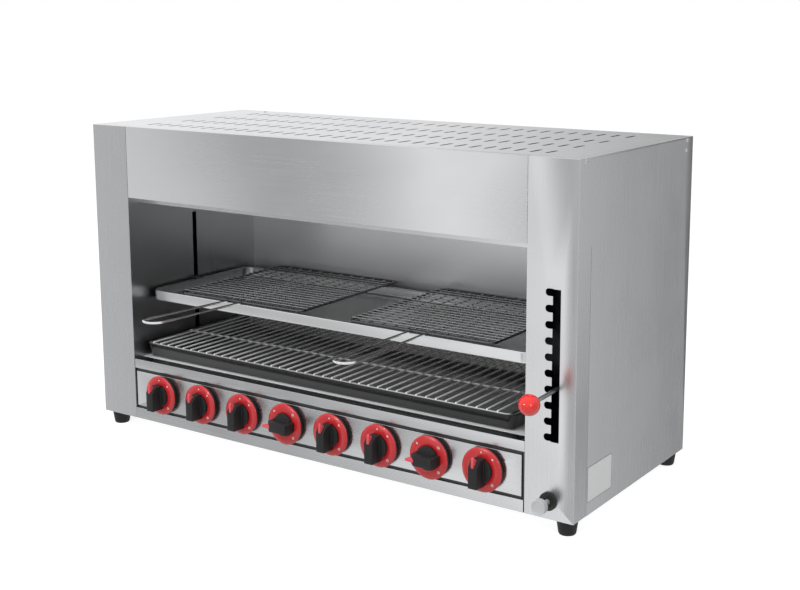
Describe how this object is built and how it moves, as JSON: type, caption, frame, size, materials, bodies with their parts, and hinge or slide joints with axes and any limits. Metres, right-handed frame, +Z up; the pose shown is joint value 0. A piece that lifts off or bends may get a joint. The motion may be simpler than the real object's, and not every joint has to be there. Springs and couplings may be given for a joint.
{
  "type": "gas cheese melter",
  "caption": "Counter-standing gas cheese melter with a lever-raised rack carriage, knobs with red rings, wire racks and a drip tray in a stainless casing.",
  "frame": {"origin": "middle of the whole extent in X and Y, on the counter under the feet", "axes": "+X to the viewer's right along the width, +Y from the front to the back, +Z up"},
  "size_m": [1.2044, 0.7109, 0.6842],
  "materials": {
    "brushed_sheet": "brushed stainless sheet, satin",
    "liner_sheet": "smooth stainless liner sheet, semi-bright",
    "dark_sheet": "dark painted sheet, matte",
    "burner_iron": "dark heat-tinted casting, matte",
    "burner_ceramic": "unglazed burner ceramic, matte",
    "gas_pipe": "drawn aluminium tube, satin",
    "valve_brass": "machined brass, satin",
    "manifold_steel": "zinc-grey pipe, satin",
    "black_plastic": "black plastic, matte",
    "knob_plastic": "black phenolic, semi-matte",
    "ring_plastic": "red plastic ring, semi-gloss",
    "ball_plastic": "red phenolic ball, glossy",
    "bright_metal": "plated metal, bright",
    "bracket_steel": "plain steel, satin",
    "bronze": "sintered bronze, satin",
    "dark_steel": "dark heat-resistant paint, satin",
    "pan_steel": "bright stainless sheet, lightly brushed",
    "chrome_wire": "plated wire, bright",
    "tray_enamel": "dark grey enamel on sheet, glossy",
    "foot_rubber": "black rubber, matte"
  },
  "bodies": {
    "casing": {"left_post": "brushed_sheet", "right_post": "brushed_sheet", "left_side_panel": "brushed_sheet", "right_side_panel": "brushed_sheet", "top_panel": "brushed_sheet", "back_panel": "brushed_sheet", "base_plate": "brushed_sheet", "front_fascia": "brushed_sheet", "burner_box": "brushed_sheet", "inner_walls": "liner_sheet", "cavity_back_wall": "liner_sheet", "cavity_floor": "liner_sheet", "top_rail": "brushed_sheet", "control_panel": "brushed_sheet", "panel_backing": "dark_sheet", "bottom_rail": "brushed_sheet", "burner_bodies": "burner_iron", "burner_tiles": "burner_ceramic", "gas_tubes": "gas_pipe", "gas_valves": "valve_brass", "gas_manifold": "manifold_steel", "gas_inlet": "valve_brass", "igniter_collar": "black_plastic", "igniter_body": "black_plastic", "spark_electrode": "burner_ceramic", "guide_rods": "bright_metal", "rod_brackets": "bracket_steel", "feet": "foot_rubber", "foot_bolts": "bright_metal", "casing_screws": "bright_metal"},
    "carriage": {"carriage_frame": "dark_steel", "carriage_blocks": "bracket_steel", "carriage_bushes": "bronze", "upper_pan": "pan_steel", "lever_pivot": "bright_metal"},
    "lever": {"lever_rod": "dark_steel", "lever_ball": "ball_plastic"},
    "left_rack": {"left_rack": "chrome_wire", "left_rack_handle": "chrome_wire"},
    "right_rack": {"right_rack": "chrome_wire", "right_rack_handle": "chrome_wire"},
    "drip_tray": {"drip_tray": "tray_enamel"},
    "lower_rack": {"lower_rack": "chrome_wire"},
    "igniter_button": {"igniter_button": "bright_metal"},
    "knob_1": {"knob_1": "knob_plastic", "knob_ring_1": "ring_plastic"},
    "knob_2": {"knob_2": "knob_plastic", "knob_ring_2": "ring_plastic"},
    "knob_3": {"knob_3": "knob_plastic", "knob_ring_3": "ring_plastic"},
    "knob_4": {"knob_4": "knob_plastic", "knob_ring_4": "ring_plastic"},
    "knob_5": {"knob_5": "knob_plastic", "knob_ring_5": "ring_plastic"},
    "knob_6": {"knob_6": "knob_plastic", "knob_ring_6": "ring_plastic"},
    "knob_7": {"knob_7": "knob_plastic", "knob_ring_7": "ring_plastic"},
    "knob_8": {"knob_8": "knob_plastic", "knob_ring_8": "ring_plastic"}
  },
  "joints": [
    {"name": "knob_1_turn", "type": "hinge", "parent": "casing", "child": "knob_1", "pos_m": [-0.4115, -0.177, 0.098], "axis": [0, -1, 0], "range_deg": [0, 180]},
    {"name": "knob_2_turn", "type": "hinge", "parent": "casing", "child": "knob_2", "pos_m": [-0.2935, -0.177, 0.098], "axis": [0, -1, 0], "range_deg": [0, 180]},
    {"name": "knob_3_turn", "type": "hinge", "parent": "casing", "child": "knob_3", "pos_m": [-0.1755, -0.177, 0.098], "axis": [0, -1, 0], "range_deg": [0, 180]},
    {"name": "knob_4_turn", "type": "hinge", "parent": "casing", "child": "knob_4", "pos_m": [-0.0575, -0.177, 0.098], "axis": [0, -1, 0], "range_deg": [-90, 90]},
    {"name": "knob_5_turn", "type": "hinge", "parent": "casing", "child": "knob_5", "pos_m": [0.0605, -0.177, 0.098], "axis": [0, -1, 0], "range_deg": [0, 180]},
    {"name": "knob_6_turn", "type": "hinge", "parent": "casing", "child": "knob_6", "pos_m": [0.1785, -0.177, 0.098], "axis": [0, -1, 0], "range_deg": [0, 180]},
    {"name": "knob_7_turn", "type": "hinge", "parent": "casing", "child": "knob_7", "pos_m": [0.2965, -0.177, 0.098], "axis": [0, -1, 0], "range_deg": [-90, 90]},
    {"name": "knob_8_turn", "type": "hinge", "parent": "casing", "child": "knob_8", "pos_m": [0.4145, -0.177, 0.098], "axis": [0, -1, 0], "range_deg": [0, 180]},
    {"name": "igniter_push", "type": "slide", "parent": "casing", "child": "igniter_button", "axis": [0, 1, 0], "range_m": [0, 0.01], "stiffness_N_per_m": 800, "springref_m": -0.003},
    {"name": "carriage_lift", "type": "slide", "parent": "casing", "child": "carriage", "axis": [0, 0, 1], "range_m": [-0.08775, 0.1755]},
    {"name": "lever_swing", "type": "hinge", "parent": "carriage", "child": "lever", "pos_m": [0.562, 0.043, 0.2786], "axis": [0, 0, -1], "range_deg": [0, 4.4]},
    {"name": "left_rack_pull", "type": "slide", "parent": "carriage", "child": "left_rack", "axis": [0.0227, -0.9997, 0], "range_m": [0, 0.3]},
    {"name": "right_rack_pull", "type": "slide", "parent": "carriage", "child": "right_rack", "axis": [0.0122, -0.9999, 0], "range_m": [0, 0.3]},
    {"name": "drip_tray_pull", "type": "slide", "parent": "casing", "child": "drip_tray", "axis": [0, -1, 0], "range_m": [0, 0.3]},
    {"name": "lower_rack_lift", "type": "slide", "parent": "drip_tray", "child": "lower_rack", "axis": [0, 0, 1], "range_m": [0, 0.06]}
  ]
}
